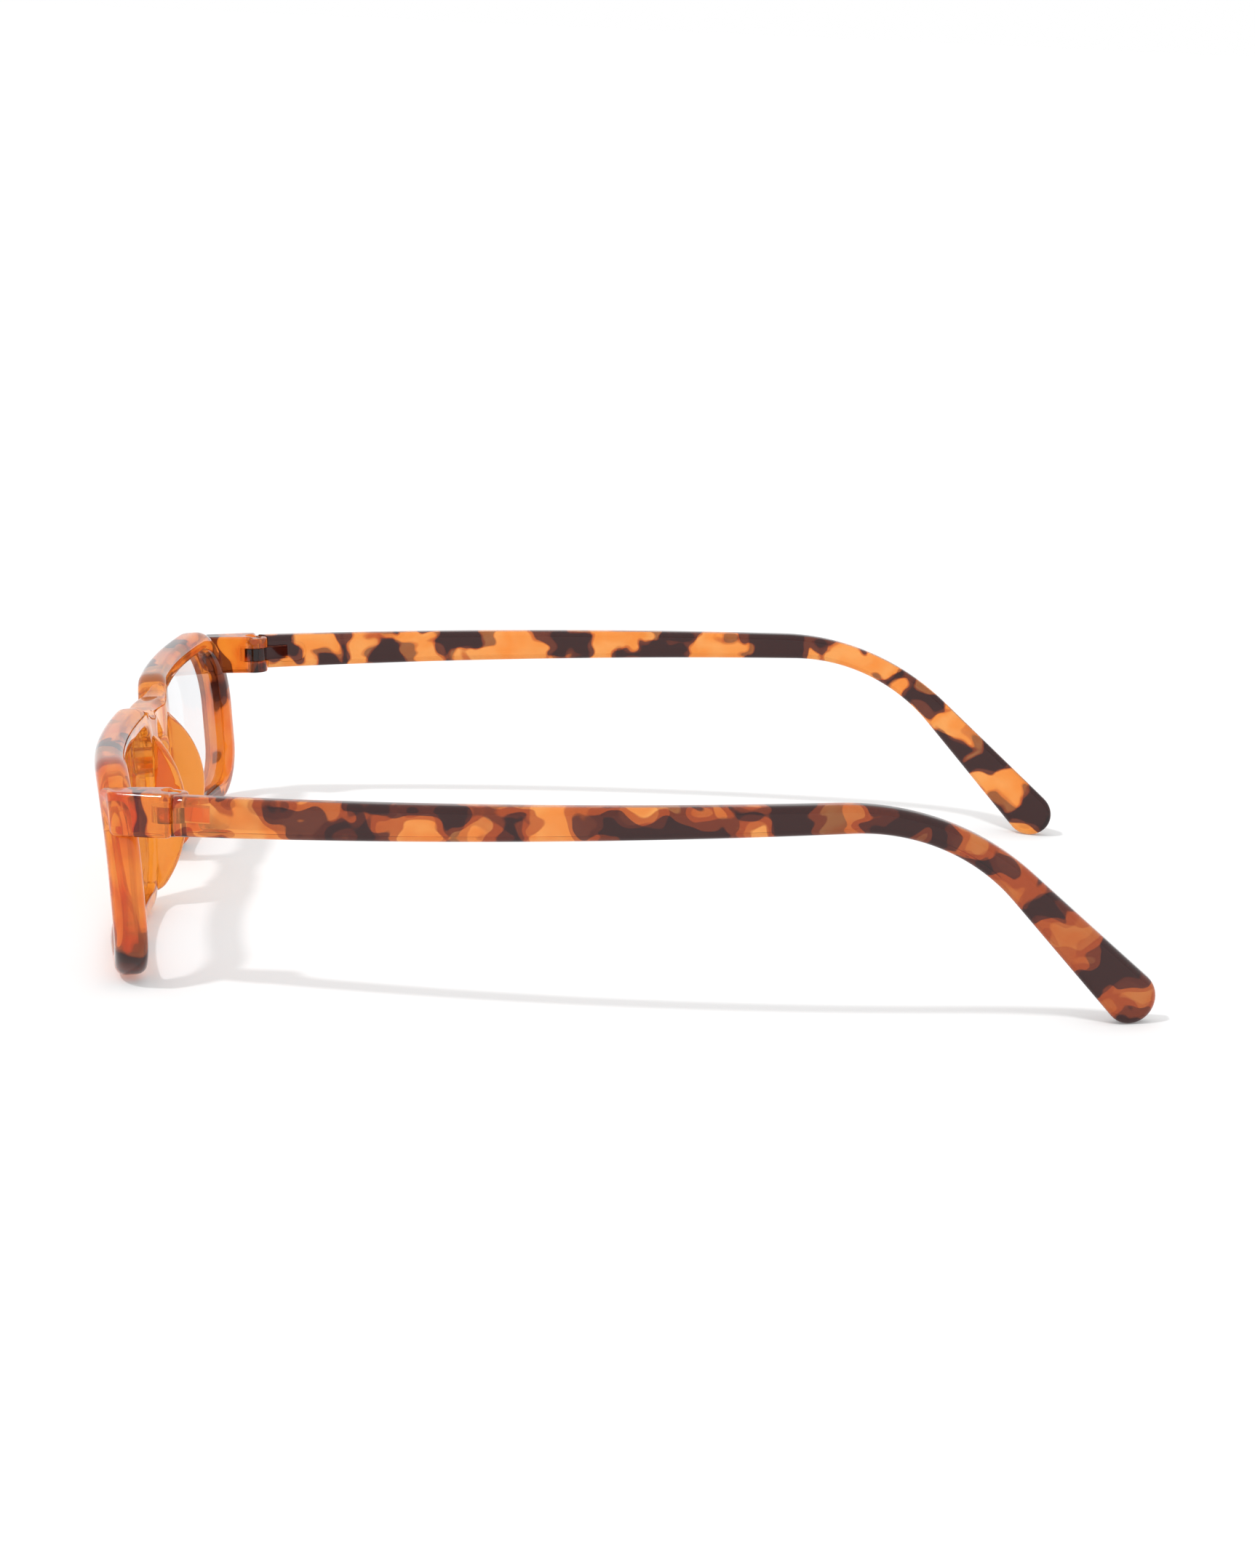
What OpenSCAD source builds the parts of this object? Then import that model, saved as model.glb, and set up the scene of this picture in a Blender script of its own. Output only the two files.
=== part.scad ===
// Reading glasses: one moulded front with two glazed rims, a saddle bridge and two
// nose pads, and two bowed temples on three-knuckle screw hinges.
// Rest pose: temples open, standing on the rims' lower edges and the temple tips.
// +X is the wearer's left, -Y the front, +Y the temple tips, +Z up, in millimetres.

/* [Front] */
// Half of the front's width, measured at the hinge seam
half_w = 68; // [66:0.5:70]
// Height of each rim, in its own leaning plane
rim_h = 29; // [27.6:0.2:30.4]
// Depth of the rims from front face to back face
rim_t = 4.4; // [4.2:0.1:4.8]
// Width of the rim's bar all round the opening
rim_w = 3; // [2.8:0.1:3.4]
// Distance from the middle to a rim's nasal edge, at its top corner
rim_x = 8.6; // [8.2:0.1:9.4]
// Lean of the rims against the temples, lower edge towards the face
rim_lean = 3.6; // [3:0.1:5]
// Radius of each rim's curved face
rim_curve = 185; // [170:5:200]
// Radius of the lower outer corner
corner_low = 8.8; // [8:0.2:10]
// Radius of the upper outer corner
corner_top = 14; // [12:0.5:15]
// Radius of the lower nasal corner
corner_nose = 9; // [8:0.2:10]
// Radius of the upper nasal corner
corner_brow = 7; // [6:0.2:8]

/* [Bridge and pads] */
// Height of the bridge's top at the middle, above the rims' lower edge
bridge_top = 26.8; // [26:0.2:27.6]
// Height of the bridge at its middle
bridge_h = 5.2; // [4.6:0.2:6]
// Radius of the bridge as seen from above
bridge_curve = 36; // [33:0.5:40]
// How far the bridge stands behind the rims' front, at its middle
bridge_set = 0.3; // [0.1:0.1:0.6]
// Thickness of a nose pad
pad_t = 1.8; // [1.6:0.1:2.2]
// Radius of a nose pad's rounded edge
pad_r = 16.8; // [16.2:0.2:17.2]
// Lean of a nose pad, lower end outwards
pad_lean = 15; // [12:1:18]
// Turn of a nose pad, back edge outwards
pad_turn = 18; // [14:1:22]

/* [Lenses] */
// Thickness of a lens
lens_t = 2; // [1.8:0.1:2.2]
// Depth of the lens edge in the rim's groove
lens_lap = 0.8; // [0.6:0.1:1]
// Gap between the lens edge and its groove
lens_gap = 0.04; // [0.02:0.01:0.06]

/* [Temples] */
// Thickness of a temple
temple_t = 3; // [2.8:0.1:3.2]
// Height of a temple at the hinge
temple_h = 5.5; // [5.2:0.1:5.6]
// Height of a temple where the bend starts
temple_waist = 4; // [3.8:0.1:4.2]
// Distance from the seam to the start of the bend
bend_y = 87.5; // [80:0.5:92]
// Radius of the temple's bow, as seen from above
bow_r = 241; // [220:1:270]
// Angle of the ear end's upper edge
ear_top = 43.5; // [41:0.5:46]
// Angle of the ear end's lower edge
ear_low = 50.5; // [48:0.5:52]
// Length of the ear end's straight upper edge
ear_len = 22.5; // [18:0.5:25]

/* [Hinges] */
// Height of the end piece that carries the hinge
end_h = 6; // [5.8:0.1:6.4]
// Distance from the outer face in to the hinge axis
axis_in = 3.7; // [3.6:0.1:3.9]
// Radius of the hinge knuckles
knuckle_r = 2.2; // [2.1:0.1:2.3]
// Height of the temple's middle tongue
tongue_h = 2; // [1.8:0.1:2.2]
// Gap above and below the tongue
tongue_gap = 0.12; // [0.1:0.02:0.2]
// Gap between the end piece and the temple at the seam
seam_gap = 0.16; // [0.12:0.02:0.24]
// Radius of the hinge screw's shank
screw_r = 0.7; // [0.6:0.05:0.8]
// Radius of the hinge screw's head
screw_head = 1.15; // [1.1:0.05:1.25]

/* [Hidden] */
$fn = 96;

// Running clearance of the screw in the tongue, and room round the knuckles
bore_gap = 0.05;
swing_gap = 0.3;

// Levels, above the temple tips' lowest point while the temples lie level
front_z = 6;
top_z = front_z + rim_h - 2;
mid_z = top_z - end_h / 2;
front_y = -12.2;

// Steps in each arc of an outline
arc_steps = 14;

// Bow of the temple's outer face, a circle seen from above
bow_y = 54.3;
bow_x = half_w + bow_r - sqrt(bow_r * bow_r - bow_y * bow_y) - bow_r;

// Hinge axis
axis_x = half_w - axis_in;
axis_y = -0.2;

// Rim corners as [x, height, radius], going round from the lower outer one
rim_out = half_w - 1.5;
lens_x = 25;
lens_front = 1.1;
function corners(cut) = [
  [rim_out - corner_low, corner_low, corner_low - cut],
  [rim_out - corner_top, rim_h - corner_top, corner_top - cut],
  [rim_x + corner_brow, rim_h - corner_brow, corner_brow - cut],
  [rim_x + 3.4 + corner_nose, corner_nose, corner_nose - cut]
];

// Outward normal of the line that touches two corner circles
function side(a, b) =
  let (
    dx = b[0] - a[0],
    dy = b[1] - a[1],
    l = sqrt(dx * dx + dy * dy),
    c = (a[2] - b[2]) / l,
    s = sqrt(1 - c * c)
  ) [dx / l * c + dy / l * s, dy / l * c - dx / l * s];

// Temple's side view: upper and lower arcs of the bend, then two spreading edges
top_r = 39;
low_r = 28;
top_c = [bend_y, top_z - 1 - top_r];
low_c = [bend_y + 2.5, top_z - 1 - temple_waist - low_r];
top_p = top_c + top_r * [sin(ear_top), cos(ear_top)];
low_p = low_c + low_r * [sin(ear_low), cos(ear_low)];
top_d = [cos(ear_top), -sin(ear_top)];
top_n = [-sin(ear_top), -cos(ear_top)];
low_n = [sin(ear_low), cos(ear_low)];
tip_r = ((top_p - low_p) * low_n + ear_len * (top_d * low_n)) / (1 - top_n * low_n);
tip_c = top_p + ear_len * top_d + tip_r * top_n;

// Rest pose: the level glasses tip back until rims and temple tips both touch down
rest_a = tip_c[0] - front_y;
rest_b = front_z - tip_c[1];
rest_tilt = asin(tip_r / sqrt(rest_a * rest_a + rest_b * rest_b)) + atan(rest_b / rest_a);
rest_up = -(tip_c[0] * sin(rest_tilt) + tip_c[1] * cos(rest_tilt) - tip_r);
rest_y = -57.96;

front_frame();
lens_left();
lens_right();
temple_left();
temple_right();
hinge_screw_left();
hinge_screw_right();

// From the level layout to the rest pose
module rest() {
  translate([0, rest_y, rest_up])
    rotate([rest_tilt, 0, 0])
      children();
}

// From a rim's own plane, x across, y back, z up its lean, to the level layout
module lean() {
  translate([0, front_y, front_z])
    rotate([rim_lean, 0, 0])
      children();
}

// Both halves
module pair() {
  children();
  mirror([1, 0, 0])
    children();
}

// Points on an arc, from one angle to the next one reached turning left
function arc(c, r, from, to) =
  let (turn = (to - from + 720) % 360)
    [for (i = [0 : arc_steps]) c + r * [cos(from + turn * i / arc_steps),
      sin(from + turn * i / arc_steps)]];

// Outline of a rim, drawn inwards by a cut
module rim_outline(cut) {
  c = corners(cut);
  a = [for (i = [0 : 3]) let (n = side(c[i], c[(i + 1) % 4])) atan2(n[1], n[0])];
  polygon([for (i = [0 : 3]) each arc([c[i][0], c[i][1]], c[i][2], a[(i + 3) % 4], a[i])]);
}

// Upright slab with that outline
module rim_slab(cut) {
  translate([0, 30, 0])
    rotate([90, 0, 0])
      linear_extrude(40)
        rim_outline(cut);
}

// Curved sheet between two depths behind the rim's front face
module curved_sheet(from, to) {
  translate([lens_x, rim_curve, -5])
    difference() {
      cylinder(r = rim_curve - from, h = rim_h + 10, $fn = 360);
      translate([0, 0, -1])
        cylinder(r = rim_curve - to, h = rim_h + 12, $fn = 360);
    }
}

// One rim with its opening and lens groove
module rim() {
  difference() {
    intersection() {
      rim_slab(0);
      curved_sheet(0, rim_t);
    }
    rim_slab(rim_w);
    intersection() {
      rim_slab(rim_w - lens_lap);
      curved_sheet(lens_front - lens_gap, lens_front + lens_t + lens_gap);
    }
  }
}

// One lens
module lens() {
  rest()
    lean()
      intersection() {
        rim_slab(rim_w - lens_lap + lens_gap);
        curved_sheet(lens_front, lens_front + lens_t);
      }
}

// Saddle bridge between the rims
module bridge() {
  lean()
    intersection() {
      translate([0, bridge_curve + bridge_set, 0])
        difference() {
          cylinder(r = bridge_curve, h = rim_h + 5);
          translate([0, 0, -1])
            cylinder(r = bridge_curve - rim_t, h = rim_h + 7);
        }
      translate([0, 20, 0])
        rotate([90, 0, 0])
          linear_extrude(40)
            bridge_outline();
    }
}

// Bridge as seen from the front: a shallow dip on top and an arch below
module bridge_outline() {
  arch = 8.6;
  difference() {
    translate([-rim_x - 2.6, bridge_top - bridge_h - 4])
      square([2 * rim_x + 5.2, bridge_h + 6]);
    translate([0, bridge_top + 80])
      circle(r = 80, $fn = 180);
    translate([0, bridge_top - bridge_h - arch])
      circle(r = arch);
  }
}

// One nose pad: a thin fin with a round edge, leaning and turned outwards
module pad() {
  translate([12.7, -8, 17.5])
    rotate([0, -pad_lean, -pad_turn])
      translate([-pad_t / 2, 0, 0])
        rotate([90, 0, 90])
          linear_extrude(pad_t)
            intersection() {
              translate([-12.4, 0])
                circle(r = pad_r);
              translate([-1.8, -10])
                square([12, 24]);
            }
}

// Ring that the outer faces of end piece and temple share
module bow(thick) {
  translate([bow_x, bow_y, -20])
    difference() {
      cylinder(r = bow_r, h = 80, $fn = 720);
      translate([0, 0, -1])
        cylinder(r = bow_r - thick, h = 82, $fn = 720);
    }
}

// End piece behind the rim's outer edge, with its two knuckles
module end_piece() {
  difference() {
    union() {
      intersection() {
        bow(5.7);
        translate([half_w - 6, -14, top_z - end_h])
          cube([10, 14 - seam_gap / 2, end_h]);
        lean()
          translate([lens_x, rim_curve, -5])
            cylinder(r = rim_curve, h = rim_h + 20, $fn = 360);
      }
      translate([axis_x, axis_y, top_z - end_h])
        cylinder(r = knuckle_r, h = end_h - 0.3);
    }
    translate([axis_x, axis_y, mid_z - tongue_h / 2 - tongue_gap])
      cylinder(r = knuckle_r + swing_gap - 0.1, h = tongue_h + 2 * tongue_gap);
    translate([axis_x, axis_y, top_z - end_h - 1])
      cylinder(r = screw_r, h = end_h + 2);
    translate([axis_x, axis_y, top_z - 1.25])
      cylinder(r = screw_head + 0.12, h = 2);
  }
}

module front_frame() {
  color([0.62, 0.28, 0.08])
    rest() {
      difference() {
        union() {
          lean()
            pair()
              rim();
          bridge();
          pair()
            pad();
        }
        // Lens openings stay clear
        lean()
          pair()
            rim_slab(rim_w);
        lean()
          pair()
            intersection() {
              rim_slab(rim_w - lens_lap);
              curved_sheet(lens_front - lens_gap, lens_front + lens_t + lens_gap);
            }
      }
      pair()
        end_piece();
    }
}

module lens_left() {
  color([0.85, 0.9, 0.93, 0.35])
    lens();
}

module lens_right() {
  color([0.85, 0.9, 0.93, 0.35])
    mirror([1, 0, 0])
      lens();
}

// Temple as seen from the side, one closed line going round to the left
module temple_outline() {
  polygon(concat(
    [[seam_gap / 2, mid_z - temple_h / 2]],
    [for (q = [0 : arc_steps]) let (t = ear_low * q / arc_steps) low_c + low_r * [sin(t), cos(t)]],
    arc(tip_c, tip_r, -90 - ear_low, 90 - ear_top),
    [for (q = [arc_steps : -1 : 0]) let (t = ear_top * q / arc_steps) top_c + top_r * [sin(t), cos(t)]],
    [[seam_gap / 2, mid_z + temple_h / 2]]
  ));
}

// One temple with its hinge tongue
module temple() {
  color([0.56, 0.2, 0.05])
    rest()
      difference() {
        union() {
          difference() {
            intersection() {
              bow(temple_t);
              translate([50, 0, 0])
                rotate([90, 0, 90])
                  linear_extrude(40)
                    temple_outline();
            }
            // Room for the end piece's knuckles
            translate([axis_x, axis_y, mid_z - 5])
              cylinder(r = knuckle_r + swing_gap, h = 10);
          }
          tongue();
        }
        translate([axis_x, axis_y, mid_z - 5])
          cylinder(r = screw_r + bore_gap, h = 10);
      }
}

// Middle knuckle of the hinge
module tongue() {
  translate([axis_x, axis_y, mid_z - tongue_h / 2])
    linear_extrude(tongue_h) {
      circle(r = knuckle_r - 0.1);
      polygon([[-0.3, 0], [2.1, 0], [2.3, 5.4], [1.2, 5.4]]);
    }
}

module temple_left() {
  temple();
}

module temple_right() {
  mirror([1, 0, 0])
    temple();
}

// One hinge screw, head in the top recess
module screw() {
  color([0.75, 0.75, 0.78])
    rest()
      translate([axis_x, axis_y, 0])
        difference() {
          union() {
            translate([0, 0, top_z - end_h + 0.3])
              cylinder(r = screw_r, h = end_h - 1.25);
            translate([0, 0, top_z - 1.25])
              cylinder(r = screw_head, h = 0.75);
          }
          translate([-0.15, -2, top_z - 0.8])
            cube([0.3, 4, 1]);
        }
}

module hinge_screw_left() {
  screw();
}

module hinge_screw_right() {
  mirror([1, 0, 0])
    screw();
}
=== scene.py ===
"""Visual model of a pair of tortoiseshell reading glasses, standing open on a white table.

The lenses are the construction model's own. The front, the temples and the hinge screws
are built here with rounded edges, on the same sizes and in the same rest pose. Shapes are
in millimetres of a level layout, which the rest pose tips back onto the table. Finishes
and the studio are in metres, except where a name says otherwise.
"""

import logging
import math
from dataclasses import dataclass, field
from enum import Enum

import bmesh
import bpy
from mathutils import Matrix, Vector


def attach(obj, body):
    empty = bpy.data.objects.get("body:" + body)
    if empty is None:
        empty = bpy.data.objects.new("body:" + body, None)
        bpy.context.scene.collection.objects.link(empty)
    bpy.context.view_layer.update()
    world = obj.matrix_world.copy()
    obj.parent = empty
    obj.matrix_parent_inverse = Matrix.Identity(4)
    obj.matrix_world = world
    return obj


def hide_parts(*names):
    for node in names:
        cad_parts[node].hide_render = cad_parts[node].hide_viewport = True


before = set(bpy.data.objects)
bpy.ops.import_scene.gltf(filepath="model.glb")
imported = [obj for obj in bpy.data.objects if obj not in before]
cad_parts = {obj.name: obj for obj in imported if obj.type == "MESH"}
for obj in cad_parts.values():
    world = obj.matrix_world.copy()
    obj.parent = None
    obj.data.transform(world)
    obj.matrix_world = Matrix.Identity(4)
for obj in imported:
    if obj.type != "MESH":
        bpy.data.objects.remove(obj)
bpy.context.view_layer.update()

LOG = logging.getLogger("reading_glasses")
# Metres in a millimetre.
MM = 0.001
# Points closer than this, in metres, become one.
WELD_M = 1e-7
# Middle of what a noise gives.
NOISE_MEAN = 0.5
# Steps round a bore, the screw head's recess and every other turned shape.
BORE_STEPS = 32
RECESS_STEPS = 48
TURNED_STEPS = 64

Point = tuple[float, float, float]
Flat = tuple[float, float]
# A corner is (u, v, radius).
Corner = tuple[float, float, float]
Colour = tuple[float, float, float]
# A place on the rim is (x, height, radius, angle).
RimPlace = tuple[float, float, float, float]
# A place on the temple is (upper point, lower point, end inset, tip offset).
TemplePlace = tuple[Vector, Vector, float, float]
Socket = bpy.types.NodeSocket


class Side(Enum):
    """Wearer's side of a piece, as the sign of its X."""

    LEFT = 1
    RIGHT = -1

    @property
    def word(self) -> str:
        """Name of the side, as the pieces carry it."""
        return self.name.lower()


class Join(Enum):
    """What a carving step does with its tools."""

    ADD = "UNION"
    CUT = "DIFFERENCE"


@dataclass(frozen=True)
class RestPose:
    """Turns the level layout, in millimetres, into the rest pose, in metres."""

    tilt_deg: float = 2.578475
    back: float = -57.96
    up: float = -5.445075

    def matrix(self) -> Matrix:
        """Matrix from the level layout to the rest pose."""
        turn = Matrix.Rotation(math.radians(self.tilt_deg), 4, "X")
        return Matrix.Scale(MM, 4) @ Matrix.Translation((0.0, self.back, self.up)) @ turn


@dataclass(frozen=True)
class FrontPlane:
    """The rims' own leaning plane: x across, depth backwards, height up the lean.

    Attributes:
        y: Level y of the rims' lower edge.
        z: Level z of the rims' lower edge.
        curve: Radius of the curved sheet that each rim is cut from.
        centre: Distance from the middle at which that sheet lies foremost.
    """

    lean_deg: float = 3.6
    y: float = -12.2
    z: float = 6.0
    curve: float = 185.0
    centre: float = 25.0

    def point(self, x: float, back: float, up: float) -> Point:
        """Level position of a point of the leaning plane.

        Args:
            x: Distance from the middle.
            back: Distance behind the plane.
            up: Distance above the rims' lower edge, along the plane.

        Returns:
            The point in the level layout.
        """
        a = math.radians(self.lean_deg)
        y = self.y + back * math.cos(a) - up * math.sin(a)
        return (x, y, self.z + back * math.sin(a) + up * math.cos(a))

    def sheet(self, x: float, depth: float) -> float:
        """How far back the curved sheet at that depth lies, at that x."""
        r = self.curve - depth
        return self.curve - math.sqrt(r * r - (x - self.centre) ** 2)

    def face_y(self, x: float, z: float) -> float:
        """Level y of the front face at a level x and z."""
        a = math.radians(self.lean_deg)
        return self.y + self.sheet(x, 0.0) / math.cos(a) - (z - self.z) * math.tan(a)


@dataclass(frozen=True)
class Bow:
    """The bow that the temples' outer faces follow, a circle seen from above.

    Attributes:
        half_w: Distance from the middle to the outer face, where y is 0.
        y: Level y of the circle's centre.
    """

    half_w: float = 68.0
    radius: float = 241.0
    y: float = 54.3

    def x(self, y: float, inset: float) -> float:
        """Level x of the bow at a level y, an inset inside the outer face."""
        centre = self.half_w - math.sqrt(self.radius**2 - self.y**2)
        return centre + math.sqrt((self.radius - inset) ** 2 - (y - self.y) ** 2)


@dataclass(frozen=True)
class HingeAxis:
    """Sizes that the hinge's pieces share.

    Attributes:
        top: Level height of the end piece's top.
        knuckle: Radius of the knuckles.
        swing: Radius of the slot in which the tongue turns.
        relief: Radius that the temple's plate keeps clear of the axis.
        tongue: Height of the tongue.
        slot: Height of its slot.
        shank: Radius of the screw's shank.
        head: Radius of the screw's head.
    """

    x: float = 64.3
    y: float = -0.2
    top: float = 33.0
    height: float = 6.0
    knuckle: float = 2.2
    swing: float = 2.4
    relief: float = 2.5
    tongue: float = 2.0
    slot: float = 2.24
    shank: float = 0.7
    head: float = 1.15

    @property
    def low(self) -> float:
        """Level height of the end piece's underside."""
        return self.top - self.height

    @property
    def mid(self) -> float:
        """Level height of the tongue's middle."""
        return self.top - self.height / 2


POSE = RestPose()
PLANE = FrontPlane()
BOW = Bow()
HINGE = HingeAxis()


def rounded(corners: list[Corner], steps: int = 5) -> list[Flat]:
    """Closed outline through corners given as (u, v, radius), with rounded corners.

    Args:
        corners: The corners in order.
        steps: Steps in each rounded corner.

    Returns:
        The outline's points.
    """
    out: list[Flat] = []
    for i, (u, v, r) in enumerate(corners):
        if r <= 0.0:
            out.append((u, v))
            continue
        here = Vector((u, v))
        a = (Vector(corners[i - 1][:2]) - here).normalized()
        b = (Vector(corners[(i + 1) % len(corners)][:2]) - here).normalized()
        half = a.angle(b) / 2
        middle = here + (a + b).normalized() * (r / math.sin(half))
        start = here + a * (r / math.tan(half)) - middle
        turn = (here + b * (r / math.tan(half)) - middle).angle_signed(start)
        for k in range(steps + 1):
            spoke = start.copy()
            spoke.rotate(Matrix.Rotation(turn * k / steps, 2))
            out.append(tuple(middle + spoke))
    return out


def evened(outline: list[Flat], longest: float) -> list[Flat]:
    """The outline with its long sides split, so that its shading stays even.

    Args:
        outline: The closed outline's points.
        longest: Longest side that is left.

    Returns:
        The outline's points with the new ones between them.
    """
    out: list[Flat] = []
    for i, p in enumerate(outline):
        q = outline[(i + 1) % len(outline)]
        parts = max(1, math.ceil(math.dist(p, q) / longest))
        for k in range(parts):
            t = k / parts
            out.append((p[0] + (q[0] - p[0]) * t, p[1] + (q[1] - p[1]) * t))
    return out


def blended_min(a: float, b: float, width: float) -> float:
    """The lower of two values, with a smooth passage from one to the other."""
    share = min(max(0.5 + 0.5 * (b - a) / width, 0.0), 1.0)
    return b + (a - b) * share - width * share * (1 - share) * 0.5


def corner_inset(radius: float, away: float) -> float:
    """How far a round edge of that radius draws in, at a distance from its end."""
    return radius - math.sqrt(max(0.0, radius * radius - (radius - away) ** 2))


def on_arc(centre: Vector, radius: float, angle: float) -> Vector:
    """Point of a circle, at an angle from its top towards the right."""
    return centre + radius * Vector((math.sin(angle), math.cos(angle)))


class Skin:
    """Collects rings of level points and makes one closed, smooth object of them."""

    def __init__(self) -> None:
        """Starts with no points."""
        self.points: list[Point] = []
        self.faces: list[tuple[int, ...]] = []

    def ring(self, points: list[Point]) -> list[int]:
        """Adds a ring of points.

        Args:
            points: The ring's points in order.

        Returns:
            The numbers that the points get.
        """
        first = len(self.points)
        self.points.extend(points)
        return list(range(first, len(self.points)))

    def wrap(self, a: list[int], b: list[int]) -> None:
        """Makes the faces between two closed rings.

        Args:
            a: Numbers of the first ring's points.
            b: Numbers of the second ring's points, as many as the first has.
        """
        for i, here in enumerate(a):
            j = (i + 1) % len(a)
            self.faces.append((here, a[j], b[j], b[i]))

    def tube(self, rings: list[list[Point]], closed: bool) -> None:
        """Makes the faces along a row of rings.

        Args:
            rings: Rings of points, in order.
            closed: True if the last ring meets the first, else both ends are capped.
        """
        ids = [self.ring(r) for r in rings]
        for a, b in zip(ids, ids[1:]):
            self.wrap(a, b)
        if closed:
            self.wrap(ids[-1], ids[0])
        else:
            self.faces.append(tuple(ids[0]))
            self.faces.append(tuple(ids[-1]))

    def build(self, name: str, side: Side = Side.LEFT) -> bpy.types.Object:
        """Makes the object in the rest pose, with its faces outwards.

        Args:
            name: Name of the object.
            side: Side that it is for; the right one is the mirror image.

        Returns:
            The object, linked to the scene.
        """
        mesh = bpy.data.meshes.new(name)
        place = POSE.matrix()
        spots = [place @ Vector((x * side.value, y, z)) for x, y, z in self.points]
        mesh.from_pydata(spots, [], self.faces)
        work = bmesh.new()
        work.from_mesh(mesh)
        bmesh.ops.remove_doubles(work, verts=work.verts, dist=WELD_M)
        bmesh.ops.dissolve_degenerate(work, edges=work.edges, dist=WELD_M)
        bmesh.ops.recalc_face_normals(work, faces=work.faces)
        if work.calc_volume(signed=True) < 0:
            bmesh.ops.reverse_faces(work, faces=work.faces)
        work.to_mesh(mesh)
        work.free()
        obj = bpy.data.objects.new(name, mesh)
        bpy.context.scene.collection.objects.link(obj)
        return obj


def prism(name: str, outline: list[Flat], heights: Flat, side: Side) -> bpy.types.Object:
    """An upright solid over a level outline.

    Args:
        name: Name of the object.
        outline: Level (x, y) points in order.
        heights: Lower and upper level z.
        side: Side that it is for.

    Returns:
        The object.
    """
    skin = Skin()
    skin.tube([[(x, y, z) for x, y in outline] for z in heights], closed=False)
    return skin.build(name, side)


def turned(
    name: str, profile: list[Flat], side: Side, steps: int = TURNED_STEPS
) -> bpy.types.Object:
    """A turned solid on the hinge's axis.

    Args:
        name: Name of the object.
        profile: Points (radius, level height) from the bottom up, with radii above zero.
        side: Side that it is for.
        steps: Steps round the axis.

    Returns:
        The object.
    """
    skin = Skin()
    turns = [math.tau * k / steps for k in range(steps)]
    rings = [
        [(HINGE.x + r * math.cos(t), HINGE.y + r * math.sin(t), z) for t in turns]
        for r, z in profile
    ]
    skin.tube(rings, closed=False)
    return skin.build(name, side)


def settle(obj: bpy.types.Object) -> None:
    """Turns an object's modifiers into its mesh.

    Args:
        obj: Object that is changed.
    """
    graph = bpy.context.evaluated_depsgraph_get()
    graph.update()
    mesh = bpy.data.meshes.new_from_object(obj.evaluated_get(graph))
    obj.modifiers.clear()
    old = obj.data
    obj.data = mesh
    mesh.name = obj.name
    bpy.data.meshes.remove(old)


def carve(base: bpy.types.Object, tools: list[bpy.types.Object], how: Join) -> None:
    """Adds tools to an object, or cuts them out of it, and removes the tools.

    Args:
        base: Object that is changed.
        tools: Closed objects.
        how: Whether they are added or cut.
    """
    for tool in tools:
        step = base.modifiers.new("carve", "BOOLEAN")
        step.operation = how.value
        step.solver = "EXACT"
        step.object = tool
    settle(base)
    for tool in tools:
        mesh = tool.data
        bpy.data.objects.remove(tool)
        bpy.data.meshes.remove(mesh)


def smooth(obj: bpy.types.Object, sharp_deg: float = 32.0) -> None:
    """Smooth shading that keeps edges sharper than an angle."""
    obj.data.shade_smooth()
    obj.data.set_sharp_from_angle(angle=math.radians(sharp_deg))


def dress(
    obj: bpy.types.Object,
    finish: bpy.types.Material,
    body: str,
    stands_for: list[str],
) -> None:
    """Gives a piece its finish, shading, body and the nodes that it stands for.

    Args:
        obj: The piece.
        finish: Its material.
        body: The body that it rides on.
        stands_for: Construction nodes that it replaces.
    """
    obj.data.materials.clear()
    obj.data.materials.append(finish)
    for face in obj.data.polygons:
        face.material_index = 0
    smooth(obj)
    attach(obj, body)
    if stands_for:
        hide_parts(*stands_for)
    LOG.info("%s: %d faces, on %s", obj.name, len(obj.data.polygons), body)


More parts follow.
